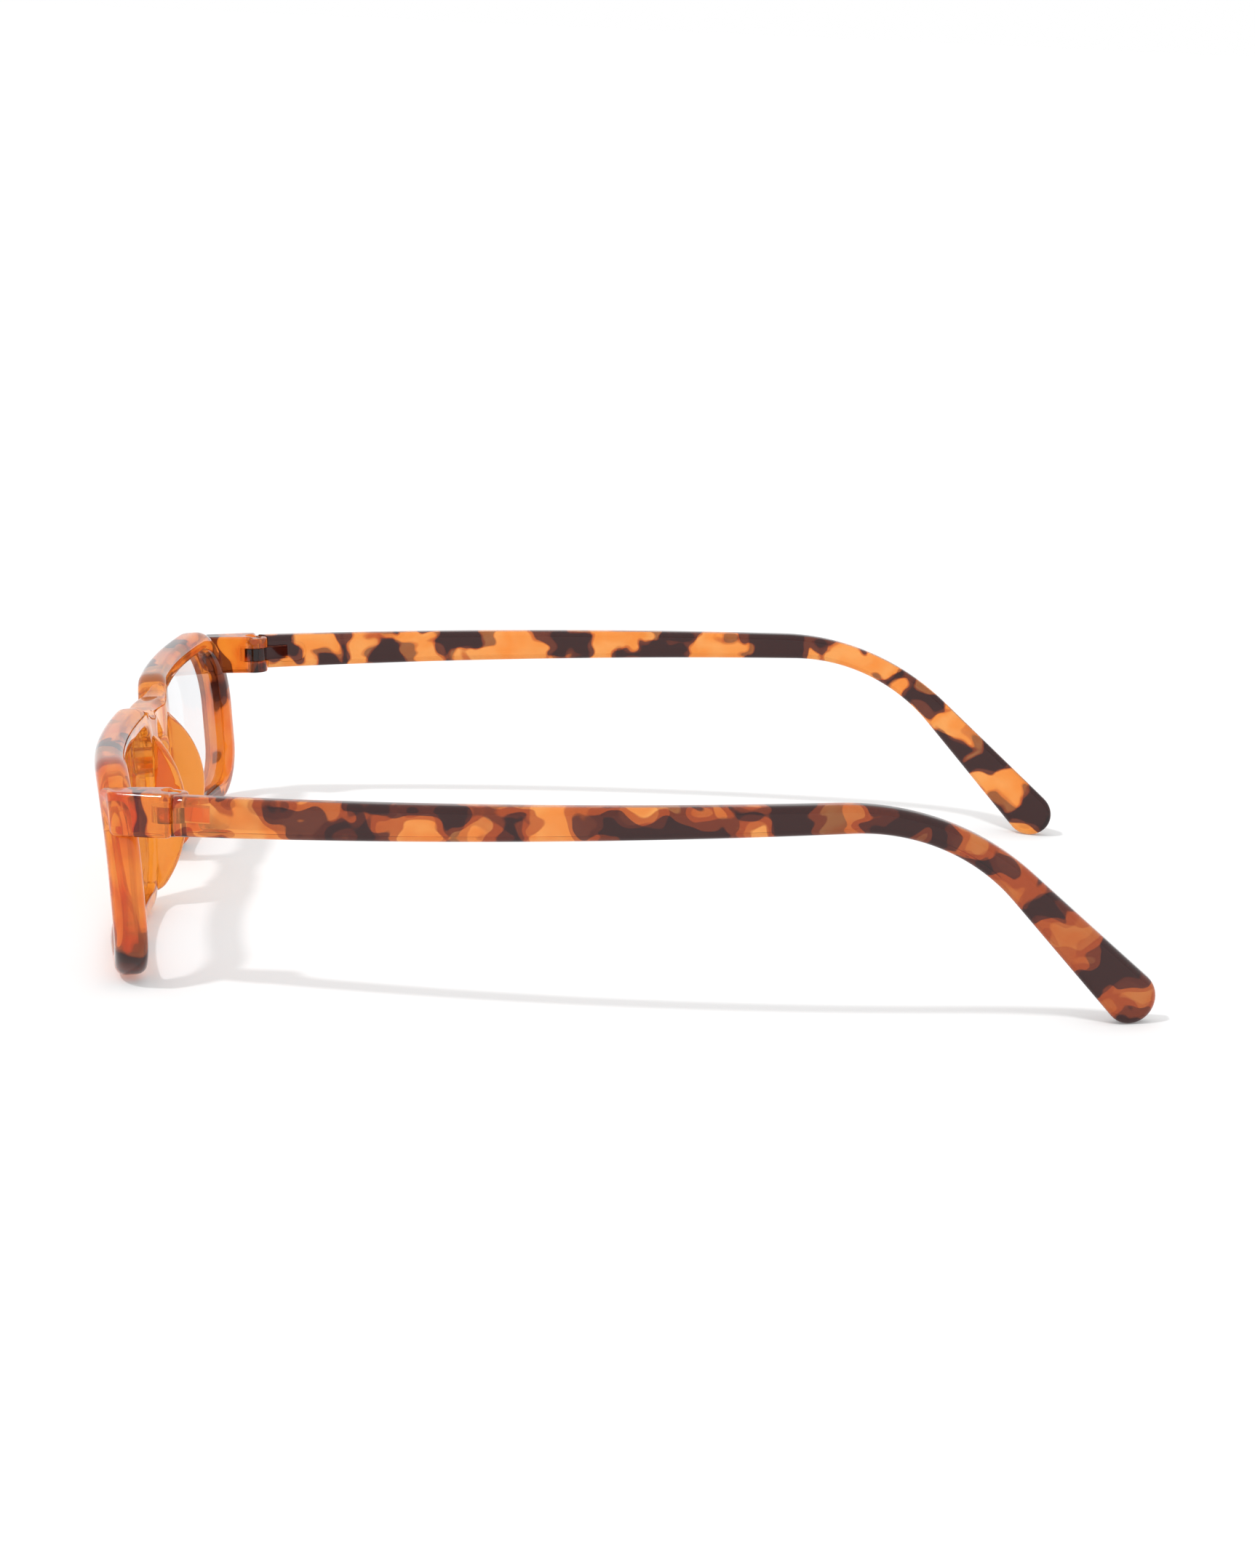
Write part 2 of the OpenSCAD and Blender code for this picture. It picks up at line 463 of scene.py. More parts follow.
class Nodes:
    """Short forms for building a node tree.

    Attributes:
        COLOUR_A: Number of a Mix node's first colour input.
        COLOUR_B: Number of its second colour input.
        COLOUR_OUT: Number of its colour output.
    """

    COLOUR_A = 6
    COLOUR_B = 7
    COLOUR_OUT = 2

    def __init__(self, tree: bpy.types.NodeTree) -> None:
        """Takes the tree over and empties it."""
        self.tree = tree
        tree.nodes.clear()

    def add(self, kind: str, **values: object) -> bpy.types.Node:
        """Adds a node and sets its properties.

        Args:
            kind: Type name of the node.
            **values: Its properties by name.

        Returns:
            The node.
        """
        node = self.tree.nodes.new(kind)
        for key, value in values.items():
            setattr(node, key, value)
        return node

    def link(self, a: Socket, b: Socket) -> None:
        """Links an output to an input."""
        self.tree.links.new(a, b)

    def feed(self, slot: Socket, value: object) -> None:
        """Links a socket to an input, or sets the input to a value.

        Args:
            slot: The input.
            value: A socket, a number or a colour.
        """
        if isinstance(value, tuple):
            slot.default_value = (*value, 1.0)
        elif isinstance(value, (int, float)):
            slot.default_value = value
        else:
            self.link(value, slot)

    def smoothstep(self, value: Socket, low: float, high: float) -> Socket:
        """Value that rises smoothly from 0 to 1.

        Args:
            value: The value read.
            low: Where the result is 0.
            high: Where the result is 1.

        Returns:
            The result's socket.
        """
        node = self.add("ShaderNodeMapRange", interpolation_type="SMOOTHSTEP")
        node.inputs["From Min"].default_value = low
        node.inputs["From Max"].default_value = high
        self.link(value, node.inputs["Value"])
        return node.outputs["Result"]

    def math(self, kind: str, a: object, b: object) -> Socket:
        """Does one operation on two values.

        Args:
            kind: Name of the operation.
            a: First value, a socket or a number.
            b: Second value, a socket or a number.

        Returns:
            The result's socket.
        """
        node = self.add("ShaderNodeMath", operation=kind)
        self.feed(node.inputs[0], a)
        self.feed(node.inputs[1], b)
        return node.outputs[0]

    def blend(self, factor: Socket, a: object, b: object) -> Socket:
        """Colour between two others.

        Args:
            factor: Share of the second colour.
            a: First colour, a socket or a colour.
            b: Second colour, a socket or a colour.

        Returns:
            The colour's socket.
        """
        node = self.add("ShaderNodeMix", data_type="RGBA")
        self.link(factor, node.inputs["Factor"])
        self.feed(node.inputs[self.COLOUR_A], a)
        self.feed(node.inputs[self.COLOUR_B], b)
        return node.outputs[self.COLOUR_OUT]

    def spot(self) -> Socket:
        """Object coordinates, in metres."""
        return self.add("ShaderNodeTexCoord").outputs["Object"]

    def noise(
        self, where: Socket, scale: float, seed: float, detail: float = 0.0
    ) -> bpy.types.Node:
        """Seeded noise.

        Args:
            where: Coordinates that it reads.
            scale: Cells in a metre.
            seed: Its place in the fourth dimension.
            detail: Finer layers on top of the first.

        Returns:
            The noise node.
        """
        node = self.add("ShaderNodeTexNoise", noise_dimensions="4D")
        node.inputs["Scale"].default_value = scale
        node.inputs["Detail"].default_value = detail
        node.inputs["W"].default_value = seed
        self.link(where, node.inputs["Vector"])
        return node

    def seen(self) -> Socket:
        """Tells the rays that see from those that only bring light.

        Returns:
            Socket that is 1 for the eye, metal and clear plastic, and 0 for the light.
        """
        path = self.add("ShaderNodeLightPath").outputs
        direct = self.math("MAXIMUM", path["Is Camera Ray"], path["Is Glossy Ray"])
        return self.math("MAXIMUM", direct, path["Is Transmission Ray"])

    def output(self, kind: str, surface: Socket) -> None:
        """Adds the tree's output node and links the surface to it."""
        self.link(surface, self.add(kind).inputs["Surface"])


def started(name: str) -> tuple[bpy.types.Material, Nodes]:
    """Starts a node material.

    Args:
        name: Name of the material.

    Returns:
        The material and its emptied tree.
    """
    material = bpy.data.materials.new(name)
    material.use_nodes = True
    return material, Nodes(material.node_tree)


@dataclass(frozen=True)
class Tortoise:
    """Polished translucent plastic, amber with dark brown blotches.

    Attributes:
        seed: Chooses the pattern.
        cover: Share of the noise that becomes a blotch.
        grain: How often the pattern repeats along x, y and z, against its plain scale.
        skirt: Width of the brown skirt round each dark blotch, in values of the noise.
        amber: Deeper tone of the ground.
        honey: Lighter tone of the ground.
        clear_half: Half width of the middle that is free of blotches, or 0 for none.
        blotch_from: Distance from the middle at which blotches are back in full.
        middle: Tone of that middle.
        middle_to: Distance from the middle at which its tone has faded.
        painted_ear_shade: Share of brown in the ground near the ear, as painted shade of the ear
            end, or 0 for none.
        painted_ear_shade_cover: What is added to the cover near the ear, more of that painted
            shade.
        painted_ear_shade_span: Where along y these two start, and where they are full.
        warp_reach: How far the warp pushes the pattern along x, y and z.
        turn: Turn of the pattern's grain about x, y and z, in radians.
        small_share: Weight of the small noise that frays the blotches.
        glow_range: Values of the noise between which amber turns to honey.
        skirt_range: Passage into the brown skirt, against its own edge.
        core_range: Passage into the dark blotch, against its own edge.
        clear_drop: What is taken off the noise in the clear middle.
    """

    name: str
    seed: float
    cover: float
    grain: Point
    skirt: float = 0.02
    amber: Colour = (0.96, 0.30, 0.035)
    honey: Colour = (0.98, 0.40, 0.09)
    brown: Colour = (0.55, 0.09, 0.008)
    dark: Colour = (0.035, 0.004, 0.003)
    clear_half: float = 0.0
    blotch_from: float = 0.024
    middle: Colour = (0.96, 0.34, 0.038)
    middle_to: float = 0.045
    painted_ear_shade: float = 0.0
    painted_ear_shade_cover: float = 0.05
    painted_ear_shade_span: Flat = (0.012, 0.05)
    transmission: float = 0.8
    roughness: float = 0.02
    index: float = 1.49
    shine: float = 0.22
    warp_scale: float = 170.0
    warp_seed: float = 3.0
    warp_reach: Point = (0.005, 0.008, 0.005)
    turn: Point = (0.35, 0.0, 0.15)
    big_scale: float = 190.0
    small_scale: float = 420.0
    small_seed: float = 7.0
    small_share: float = 0.4
    glow_scale: float = 330.0
    glow_seed: float = 11.0
    glow_range: Flat = (0.36, 0.66)
    skirt_range: Flat = (-0.012, 0.012)
    core_range: Flat = (-0.006, 0.014)
    clear_drop: float = 0.3

    def flow(self, n: Nodes, spot: Socket) -> Socket:
        """Coordinates that are warped, turned and stretched, as in poured plastic.

        Args:
            n: The material's tree.
            spot: Object coordinates.

        Returns:
            The new coordinates.
        """
        warp = n.noise(spot, self.warp_scale, self.seed + self.warp_seed, detail=1.0)
        shift = n.add("ShaderNodeVectorMath", operation="MULTIPLY_ADD")
        n.link(warp.outputs["Color"], shift.inputs[0])
        shift.inputs[1].default_value = self.warp_reach
        n.link(spot, shift.inputs[2])
        stretch = n.add("ShaderNodeMapping")
        stretch.inputs["Rotation"].default_value = self.turn
        stretch.inputs["Scale"].default_value = self.grain
        n.link(shift.outputs[0], stretch.inputs["Vector"])
        return stretch.outputs[0]

    def colour(self, n: Nodes) -> Socket:
        """The pattern's colour.

        Args:
            n: The material's tree.

        Returns:
            The colour's socket.
        """
        spot = n.spot()
        flow = self.flow(n, spot)
        big = n.noise(flow, self.big_scale, self.seed).outputs[0]
        small = n.noise(flow, self.small_scale, self.seed + self.small_seed).outputs[0]
        ripple = n.math("MULTIPLY", n.math("SUBTRACT", small, NOISE_MEAN), self.small_share)
        mark = n.math("ADD", big, ripple)
        glow = n.noise(flow, self.glow_scale, self.seed + self.glow_seed, detail=1.0)
        ground = n.blend(n.smoothstep(glow.outputs[0], *self.glow_range), self.amber, self.honey)
        place = n.add("ShaderNodeSeparateXYZ")
        n.link(spot, place.inputs[0])
        if self.clear_half > 0.0:
            across = n.math("ABSOLUTE", place.outputs[0], 0.0)
            away = n.smoothstep(across, self.clear_half, self.blotch_from)
            drop = n.math("MULTIPLY", n.math("SUBTRACT", away, 1.0), self.clear_drop)
            mark = n.math("ADD", mark, drop)
            fade = n.smoothstep(across, self.clear_half, self.middle_to)
            ground = n.blend(fade, self.middle, ground)
        # Painted shade: towards the ear end the ground turns brown and the blotches grow.
        if self.painted_ear_shade > 0.0:
            painted_ear_shade_mask = n.smoothstep(place.outputs[1], *self.painted_ear_shade_span)
            mark = n.math("ADD", mark, n.math("MULTIPLY", painted_ear_shade_mask, self.painted_ear_shade_cover))
            ground = n.blend(n.math("MULTIPLY", painted_ear_shade_mask, self.painted_ear_shade), ground, self.brown)
        core_edge = 1.0 - self.cover
        skirt_edge = core_edge - self.skirt
        skirt = n.smoothstep(mark, *(skirt_edge + step for step in self.skirt_range))
        core = n.smoothstep(mark, *(core_edge + step for step in self.core_range))
        return n.blend(core, n.blend(skirt, ground, self.brown), self.dark)

    def build(self) -> bpy.types.Material:
        """Makes the material, on Object coordinates.

        Returns:
            The material.
        """
        material, n = started(self.name)
        shader = n.add("ShaderNodeBsdfPrincipled")
        n.link(self.colour(n), shader.inputs["Base Color"])
        shader.inputs["Transmission Weight"].default_value = self.transmission
        shader.inputs["Roughness"].default_value = self.roughness
        shader.inputs["IOR"].default_value = self.index
        shader.inputs["Specular IOR Level"].default_value = self.shine
        n.output("ShaderNodeOutputMaterial", shader.outputs[0])
        return material


@dataclass(frozen=True)
class ClearLens:
    """Clear polished lens, which lets the light through to the table.

    Attributes:
        mirror_low: Share of mirror in a straight view.
        mirror_slant: What a flat view adds to it.
        slant_power: How late that comes, from straight to flat.
    """

    name: str = "clear_lens_plastic"
    tint: Colour = (0.985, 0.99, 1.0)
    haze: Colour = (0.97, 0.98, 0.99)
    haze_scale: float = 40.0
    haze_seed: float = 2.0
    haze_range: Flat = (0.2, 0.8)
    roughness: float = 0.01
    mirror_low: float = 0.03
    mirror_slant: float = 0.6
    slant_power: float = 5.0

    def build(self) -> bpy.types.Material:
        """Makes the material: clear, with a mirror that grows at a slanting view.

        Returns:
            The material.
        """
        material, n = started(self.name)
        cloud = n.noise(n.spot(), self.haze_scale, self.haze_seed, detail=2.0).outputs[0]
        through = n.add("ShaderNodeBsdfTransparent")
        tone = n.blend(n.smoothstep(cloud, *self.haze_range), self.tint, self.haze)
        n.link(tone, through.inputs["Color"])
        mirror = n.add("ShaderNodeBsdfGlossy")
        mirror.inputs["Roughness"].default_value = self.roughness
        facing = n.add("ShaderNodeLayerWeight").outputs["Facing"]
        slant = n.math("MULTIPLY", n.math("POWER", facing, self.slant_power), self.mirror_slant)
        mix = n.add("ShaderNodeMixShader")
        n.link(n.math("ADD", slant, self.mirror_low), mix.inputs[0])
        n.link(through.outputs[0], mix.inputs[1])
        n.link(mirror.outputs[0], mix.inputs[2])
        n.output("ShaderNodeOutputMaterial", mix.outputs[0])
        return material


@dataclass(frozen=True)
class ScrewSteel:
    """Bright turned steel."""

    name: str = "screw_steel_turned"
    bright: Colour = (0.62, 0.61, 0.6)
    worn: Colour = (0.5, 0.49, 0.48)
    mark_scale: float = 2600.0
    mark_seed: float = 5.0
    roughness: float = 0.5
    mark_depth: float = 0.25

    def build(self) -> bpy.types.Material:
        """Makes the material, with fine turning marks in its roughness.

        Returns:
            The material.
        """
        material, n = started(self.name)
        marks = n.noise(n.spot(), self.mark_scale, self.mark_seed, detail=2.0).outputs[0]
        shader = n.add("ShaderNodeBsdfPrincipled")
        n.link(n.blend(marks, self.bright, self.worn), shader.inputs["Base Color"])
        rough = n.math("ADD", n.math("MULTIPLY", marks, self.mark_depth), self.roughness)
        n.link(rough, shader.inputs["Roughness"])
        shader.inputs["Metallic"].default_value = 1.0
        n.output("ShaderNodeOutputMaterial", shader.outputs[0])
        return material


@dataclass(frozen=True)
class RimShape:
    """One rim: a rounded bar with a lens groove, swept round its outline.

    Attributes:
        outer: Distance from the middle to the outer edge.
        inner: Distance from the middle to the nasal edge.
        low: Radius of the lower outer corner.
        top: Radius of the upper outer corner.
        nose: Radius of the lower nasal corner.
        nose_in: How far that corner stands off the nasal edge.
        brow: Radius of the upper nasal corner.
        lap: Depth of the lens groove.
        groove: Front and rear wall of the groove.
        longest: Longest straight side that the section's outline keeps.
        opening_depths: From where to where the opening is kept clear.
    """

    outer: float = 66.5
    inner: float = 8.6
    height: float = 29.0
    low: float = 8.8
    top: float = 14.0
    nose: float = 9.0
    nose_in: float = 3.4
    brow: float = 7.0
    width: float = 3.0
    depth: float = 4.4
    lap: float = 0.8
    groove: Flat = (1.06, 3.14)
    front_edge: float = 1.4
    rear_edge: float = 1.6
    inner_front_edge: float = 0.48
    inner_rear_edge: float = 0.6
    longest: float = 0.8
    opening_depths: Flat = (-8.0, 14.0)
    opening_play: float = 0.02
    arc_steps: int = 20
    straight_steps: int = 18

    def corners(self) -> list[Corner]:
        """Places the circles that round the outline's corners.

        Returns:
            Circles as (x, height, radius), from the lower outer one round.
        """
        return [
            (self.outer - self.low, self.low, self.low),
            (self.outer - self.top, self.height - self.top, self.top),
            (self.inner + self.brow, self.height - self.brow, self.brow),
            (self.inner + self.nose_in + self.nose, self.nose, self.nose),
        ]

    def stations(self) -> list[RimPlace]:
        """Finds the places round the outline, on its corners and between them.

        Returns:
            The places in order.
        """
        spots = self.corners()
        pairs = list(zip(spots, spots[1:] + spots[:1]))
        turns = []
        for (x, z, r), (nx, nz, nr) in pairs:
            length = math.hypot(nx - x, nz - z)
            dx, dz = (nx - x) / length, (nz - z) / length
            c = (r - nr) / length
            s = math.sqrt(1 - c * c)
            turns.append(math.atan2(dz * c - dx * s, dx * c + dz * s))
        out = []
        for i, ((x, z, r), (nx, nz, nr)) in enumerate(pairs):
            start, end = turns[i - 1], turns[i]
            sweep = (end - start) % math.tau
            for k in range(self.arc_steps):
                out.append((x, z, r, start + sweep * k / self.arc_steps))
            for k in range(self.straight_steps):
                t = k / self.straight_steps
                out.append((x + (nx - x) * t, z + (nz - z) * t, r + (nr - r) * t, end))
        return out

    def section(self) -> list[Flat]:
        """Makes the outline of the bar, with the groove in its inner side.

        Returns:
            Points as (distance inwards, depth).
        """
        floor = self.width - self.lap
        front, rear = self.groove
        corners = [
            (0.0, 0.0, self.front_edge),
            (0.0, self.depth, self.rear_edge),
            (self.width, self.depth, self.inner_rear_edge),
            (self.width, rear, 0.0),
            (floor, rear, 0.0),
            (floor, front, 0.0),
            (self.width, front, 0.0),
            (self.width, 0.0, self.inner_front_edge),
        ]
        return evened(rounded(corners), self.longest)

    def ring(self, place: RimPlace, section: list[Flat]) -> list[Point]:
        """Puts the section at one place of the outline.

        Args:
            place: One of the outline's places.
            section: The bar's outline.

        Returns:
            The ring's level points.
        """
        x, z, r, angle = place
        out = []
        for cut, depth in section:
            px = x + (r - cut) * math.cos(angle)
            pz = z + (r - cut) * math.sin(angle)
            out.append(PLANE.point(px, PLANE.sheet(px, depth), pz))
        return out

    def build(self, side: Side) -> bpy.types.Object:
        """Makes the rim of one side.

        Args:
            side: Side of the rim.

        Returns:
            The rim.
        """
        skin = Skin()
        section = self.section()
        skin.tube([self.ring(s, section) for s in self.stations()], closed=True)
        return skin.build(f"rim_{side.word}", side)

    def opening(self, side: Side) -> bpy.types.Object:
        """Makes what has to stay clear inside the rim.

        Args:
            side: Side of the rim.

        Returns:
            A cutter through the opening.
        """
        skin = Skin()
        cut = self.width + self.opening_play
        rings = []
        for back in self.opening_depths:
            ring = []
            for x, z, r, angle in self.stations():
                across = x + (r - cut) * math.cos(angle)
                ring.append(PLANE.point(across, back, z + (r - cut) * math.sin(angle)))
            rings.append(ring)
        skin.tube(rings, closed=False)
        return skin.build(f"opening_{side.word}", side)


@dataclass(frozen=True)
class BridgeShape:
    """Saddle bridge between the rims.

    Attributes:
        reach: Distance from the middle to its ends, inside the rims' bars.
        rise: How much its top climbs to the rims.
        rise_from: Distance from the middle at which it starts to climb.
        curve: Radius of its front, seen from above.
        arch: Radius of its underside, seen from the front.
        leg: How far its ends may reach down below the underside's middle.
        inside: How far its back stays inside the rims' backs.
        passage: Length of the smooth passage between the two backs.
        edge_share: Largest rounding, as a share of the bar's depth.
    """

    reach: float = 12.2
    top: float = 26.8
    rise: float = 1.2
    rise_from: float = 6.0
    height: float = 5.2
    curve: float = 36.0
    set_back: float = 0.3
    arch: float = 8.6
    leg: float = 4.0
    depth: float = 4.4
    inside: float = 0.04
    passage: float = 0.5
    edge: float = 1.3
    edge_share: float = 0.42
    brow_share: float = 0.8
    corner_steps: int = 8
    steps: int = 52

    def ring(self, x: float) -> list[Point]:
        """Makes the section at one x.

        Args:
            x: Distance from the middle.

        Returns:
            The ring's level points.
        """
        past = max(0.0, abs(x) - self.rise_from) / (self.reach - self.rise_from)
        high = self.top + self.rise * past**2
        under = self.top - self.height
        arch = math.sqrt(max(0.0, self.arch**2 - x * x))
        low = max(under - self.arch + arch, under - self.leg)
        centre = self.set_back + self.curve
        front = centre - math.sqrt(self.curve**2 - x * x)
        back = centre - math.sqrt((self.curve - self.depth) ** 2 - x * x)
        rim = PLANE.sheet(abs(x), self.depth) - self.inside
        back = blended_min(back, rim, self.passage)
        edge = min(self.edge, self.edge_share * (back - front))
        brow = edge * self.brow_share
        box = [(front, low, edge), (back, low, edge), (back, high, edge), (front, high, brow)]
        return [PLANE.point(x, u, v) for u, v in rounded(box, self.corner_steps)]

    def build(self) -> bpy.types.Object:
        """Makes the bridge, its ends inside the rims' bars.

        Returns:
            The bridge.
        """
        skin = Skin()
        xs = [self.reach * (2 * k / self.steps - 1) for k in range(self.steps + 1)]
        skin.tube([self.ring(x) for x in xs], closed=False)
        return skin.build("bridge")


@dataclass(frozen=True)
class PadShape:
    """Nose pad: a thin fin with a round edge.

    Attributes:
        centre: Level place of its middle.
        radius: Radius of its round rear edge.
        back: How far that circle's centre lies in front of the fin's middle.
        root: How far the fin reaches forward, into the rim's bar.
        top_length: Length of the fin at its upper end.
        low: Its lower end, from the middle.
        least: Least length of the fin.
    """

    centre: Point = (12.7, -8.0, 17.5)
    thick: float = 1.8
    radius: float = 16.8
    back: float = 12.4
    root: float = 1.8
    top_length: float = 0.25
    low: float = -10.0
    low_round: float = 1.4
    least: float = 0.2
    lean_deg: float = 15.0
    turn_deg: float = 18.0
    edge: float = 0.85
    edge_share: float = 0.48
    root_share: float = 0.3
    corner_steps: int = 6
    steps: int = 40

    def span(self, up: float) -> Flat:
        """Finds the fin's front and rear limit at one height, its lower corners rounded.

        Args:
            up: Height above the fin's middle.

        Returns:
            The two limits.
        """
        fall = max(0.0, self.low + self.low_round - up)
        corner = self.low_round - math.sqrt(max(0.0, self.low_round**2 - fall**2))
        front = corner - self.root
        rear = math.sqrt(self.radius**2 - up * up) - self.back - corner
        return front, max(rear, front + self.least)

    def ring(self, up: float) -> list[Point]:
        """Makes the section at one height.

        Args:
            up: Height above the fin's middle.

        Returns:
            The ring's level points.
        """
        front, rear = self.span(up)
        edge = min(self.edge, (rear - front) * self.edge_share)
        root = edge * self.root_share
        half = self.thick / 2
        box = [(-half, front, root), (half, front, root), (half, rear, edge), (-half, rear, edge)]
        turn = Matrix.Rotation(math.radians(-self.turn_deg), 3, "Z")
        turn = turn @ Matrix.Rotation(math.radians(-self.lean_deg), 3, "Y")
        centre = Vector(self.centre)
        outline = rounded(box, self.corner_steps)
        return [tuple(turn @ Vector((u, v, up)) + centre) for u, v in outline]

    def build(self, side: Side) -> bpy.types.Object:
        """Makes the nose pad of one side.

        Args:
            side: Side of the pad.

        Returns:
            The pad.
        """
        high = math.sqrt(self.radius**2 - (self.back - self.root + self.top_length) ** 2)
        middle, half = (high + self.low) / 2, (high - self.low) / 2
        skin = Skin()
        shares = [math.cos(math.pi * k / self.steps) for k in range(self.steps + 1)]
        skin.tube([self.ring(middle - half * share) for share in shares], closed=False)
        return skin.build(f"pad_{side.word}", side)


@dataclass(frozen=True)
class EndPiece:
    """End piece behind the rim's outer edge, with its two knuckles.

    Attributes:
        inner: Distance from the middle to its inner side.
        seam: Level y of its rear face, at the seam.
        length: Its length, for the rounding at both ends.
        sunk: How far its front face lies behind the rim's.
        first_cuts: Shares of the length where the first rings lie.
        middle_span: Share of the length that the even rings take.
        last_cuts: Shares of the length where the last rings lie.
        knuckle_drop: How far the knuckle's top lies below the end piece's.
        overrun: How far the bore's cutter reaches past both faces.
        recess_deep: Depth of the recess for the screw's head.
        lip_deep: Depth at which the recess starts to flare.
        lip_flare: Play round the head at the recess's rim.
        recess_over: How far the recess's cutter reaches above the top.
    """

    inner: float = 62.3
    seam: float = -0.08
    length: float = 8.0
    sunk: float = 0.02
    edge: float = 0.75
    inner_share: float = 0.4
    front_round: float = 0.9
    rear_round: float = 0.55
    longest: float = 0.9
    corner_steps: int = 6
    steps: int = 14
    first_cuts: tuple[float, ...] = (0.0, 0.012, 0.035, 0.07, 0.115)
    middle_span: float = 0.8
    last_cuts: tuple[float, ...] = (0.92, 0.95, 0.975, 0.992, 1.0)
    knuckle_edge: float = 0.3
    knuckle_bevel: float = 0.09
    knuckle_drop: float = 0.3
    overrun: float = 1.0
    bore_play: float = 0.01
    recess_play: float = 0.1
    recess_deep: float = 1.25
    lip_play: float = 0.12
    lip_deep: float = 0.35
    lip_flare: float = 0.3
    recess_over: float = 0.02

    def ring(self, t: float) -> list[Point]:
        """Makes the section at one share of the length.

        Args:
            t: 0 at the front face and 1 at the seam.

        Returns:
            The ring's level points.
        """
        radius = self.rear_round if t > 0.5 else self.front_round
        inset = corner_inset(radius, min(min(t, 1.0 - t) * self.length, radius))
        low, high, outer = HINGE.low, HINGE.top, BOW.half_w
        soft = self.edge * self.inner_share
        box = [
            (self.inner, low, soft),
            (outer, low, self.edge),
            (outer, high, self.edge),
            (self.inner, high, soft),
        ]
        out = []
        for u, level in evened(rounded(box, self.corner_steps), self.longest):
            z = HINGE.mid + (level - HINGE.mid) * (1 - 2 * inset / HINGE.height)
            share = (u - self.inner) / (outer - self.inner)
            y = PLANE.face_y(u, z) + self.sunk
            y += (self.seam - y) * t
            wide = BOW.x(y, inset) - self.inner
            out.append((self.inner + share * wide, y, z))
        return out

    def build(self, side: Side) -> bpy.types.Object:
        """Makes the block of one side's end piece.

        Args:
            side: Side of the end piece.

        Returns:
            The block, without its knuckles.
        """
        start = self.first_cuts[-1]
        even = [start + self.middle_span * k / self.steps for k in range(1, self.steps)]
        skin = Skin()
        shares = [*self.first_cuts, *even, *self.last_cuts]
        skin.tube([self.ring(t) for t in shares], closed=False)
        return skin.build(f"end_piece_{side.word}", side)

    def knuckle(self, side: Side) -> bpy.types.Object:
        """Makes the round boss that both knuckles are cut from.

        Args:
            side: Side of the end piece.

        Returns:
            The boss.
        """
        r, edge, bevel = HINGE.knuckle, self.knuckle_edge, self.knuckle_bevel
        low, high = HINGE.low, HINGE.top - self.knuckle_drop
        profile = [
            (r - edge, low),
            (r - bevel, low + bevel),
            (r, low + edge),
            (r, high - edge),
            (r - bevel, high - bevel),
            (r - edge, high),
        ]
        return turned(f"knuckle_{side.word}", profile, side)

    def cutters(self, side: Side) -> list[bpy.types.Object]:
        """Makes the slot for the tongue, the bore for the screw and its head's recess.

        Args:
            side: Side of the end piece.

        Returns:
            The three cutters.
        """
        h = HINGE
        bore = h.shank + self.bore_play
        slot = [(h.swing, h.mid - h.slot / 2), (h.swing, h.mid + h.slot / 2)]
        shaft = [(bore, h.low - self.overrun), (bore, h.top + self.overrun)]
        recess = [
            (h.head + self.recess_play, h.top - self.recess_deep),
            (h.head + self.lip_play, h.top - self.lip_deep),
            (h.head + self.lip_flare, h.top + self.recess_over),
        ]
        return [
            turned(f"slot_{side.word}", slot, side),
            turned(f"bore_{side.word}", shaft, side, BORE_STEPS),
            turned(f"recess_{side.word}", recess, side, RECESS_STEPS),
        ]


@dataclass
class FrontFrame:
    """The moulded front: rims, bridge, nose pads and end pieces in one piece."""

    rim: RimShape = field(default_factory=RimShape)
    bridge: BridgeShape = field(default_factory=BridgeShape)
    pad: PadShape = field(default_factory=PadShape)
    end: EndPiece = field(default_factory=EndPiece)

    def build(self, finish: bpy.types.Material) -> bpy.types.Object:
        """Makes the front, riding on its body in place of the plain one.

        Args:
            finish: Material of the front.

        Returns:
            The front.
        """
        front = self.rim.build(Side.LEFT)
        front.name = "front_moulding"
        added = [self.bridge.build(), self.rim.build(Side.RIGHT)]
        openings = []
        for side in Side:
            added.append(self.pad.build(side))
            openings.append(self.rim.opening(side))
        carve(front, added, Join.ADD)
        carve(front, openings, Join.CUT)
        ends = [part for side in Side for part in (self.end.build(side), self.end.knuckle(side))]
        carve(front, ends, Join.ADD)
        carve(front, [cutter for side in Side for cutter in self.end.cutters(side)], Join.CUT)
        dress(front, finish, "front", ["front_frame"])
        return front


@dataclass(frozen=True)
class Tongue:
    """Middle knuckle of a temple, with the neck that joins it to the plate.

    Attributes:
        play: How much smaller than the outer knuckles it is.
        neck_back: How far the neck reaches behind the hinge's axis.
        neck_out: The neck's outer side, outwards of the axis.
        neck_in: The neck's inner side at its end, outwards of the axis.
        root: Where the inner side meets the knuckle, outwards and back from the axis.
        start_deg: Angle at which the round starts.
        sweep_deg: Angle that the round covers.
    """

    play: float = 0.1
    neck_back: float = 5.4
    neck_out: float = 2.3
    neck_in: float = 1.2
    root: Flat = (-0.3, 2.07)
    start_deg: float = 98.0
    sweep_deg: float = 262.0
    steps: int = 40

    def build(self, side: Side) -> bpy.types.Object:
        """Makes the tongue of one side.

        Args:
            side: Side of the temple.

        Returns:
            The tongue.
        """
        h = HINGE
        r = h.knuckle - self.play
        angles = [self.start_deg + self.sweep_deg * k / self.steps for k in range(self.steps + 1)]
        turns = [math.radians(a) for a in angles]
        outline = [(h.x + r * math.cos(t), h.y + r * math.sin(t)) for t in turns]
        outline += [
            (h.x + self.neck_out, h.y + self.neck_back),
            (h.x + self.neck_in, h.y + self.neck_back),
            (h.x + self.root[0], h.y + self.root[1]),
        ]
        heights = (h.mid - h.tongue / 2, h.mid + h.tongue / 2)
        return prism(f"tongue_{side.word}", outline, heights, side)


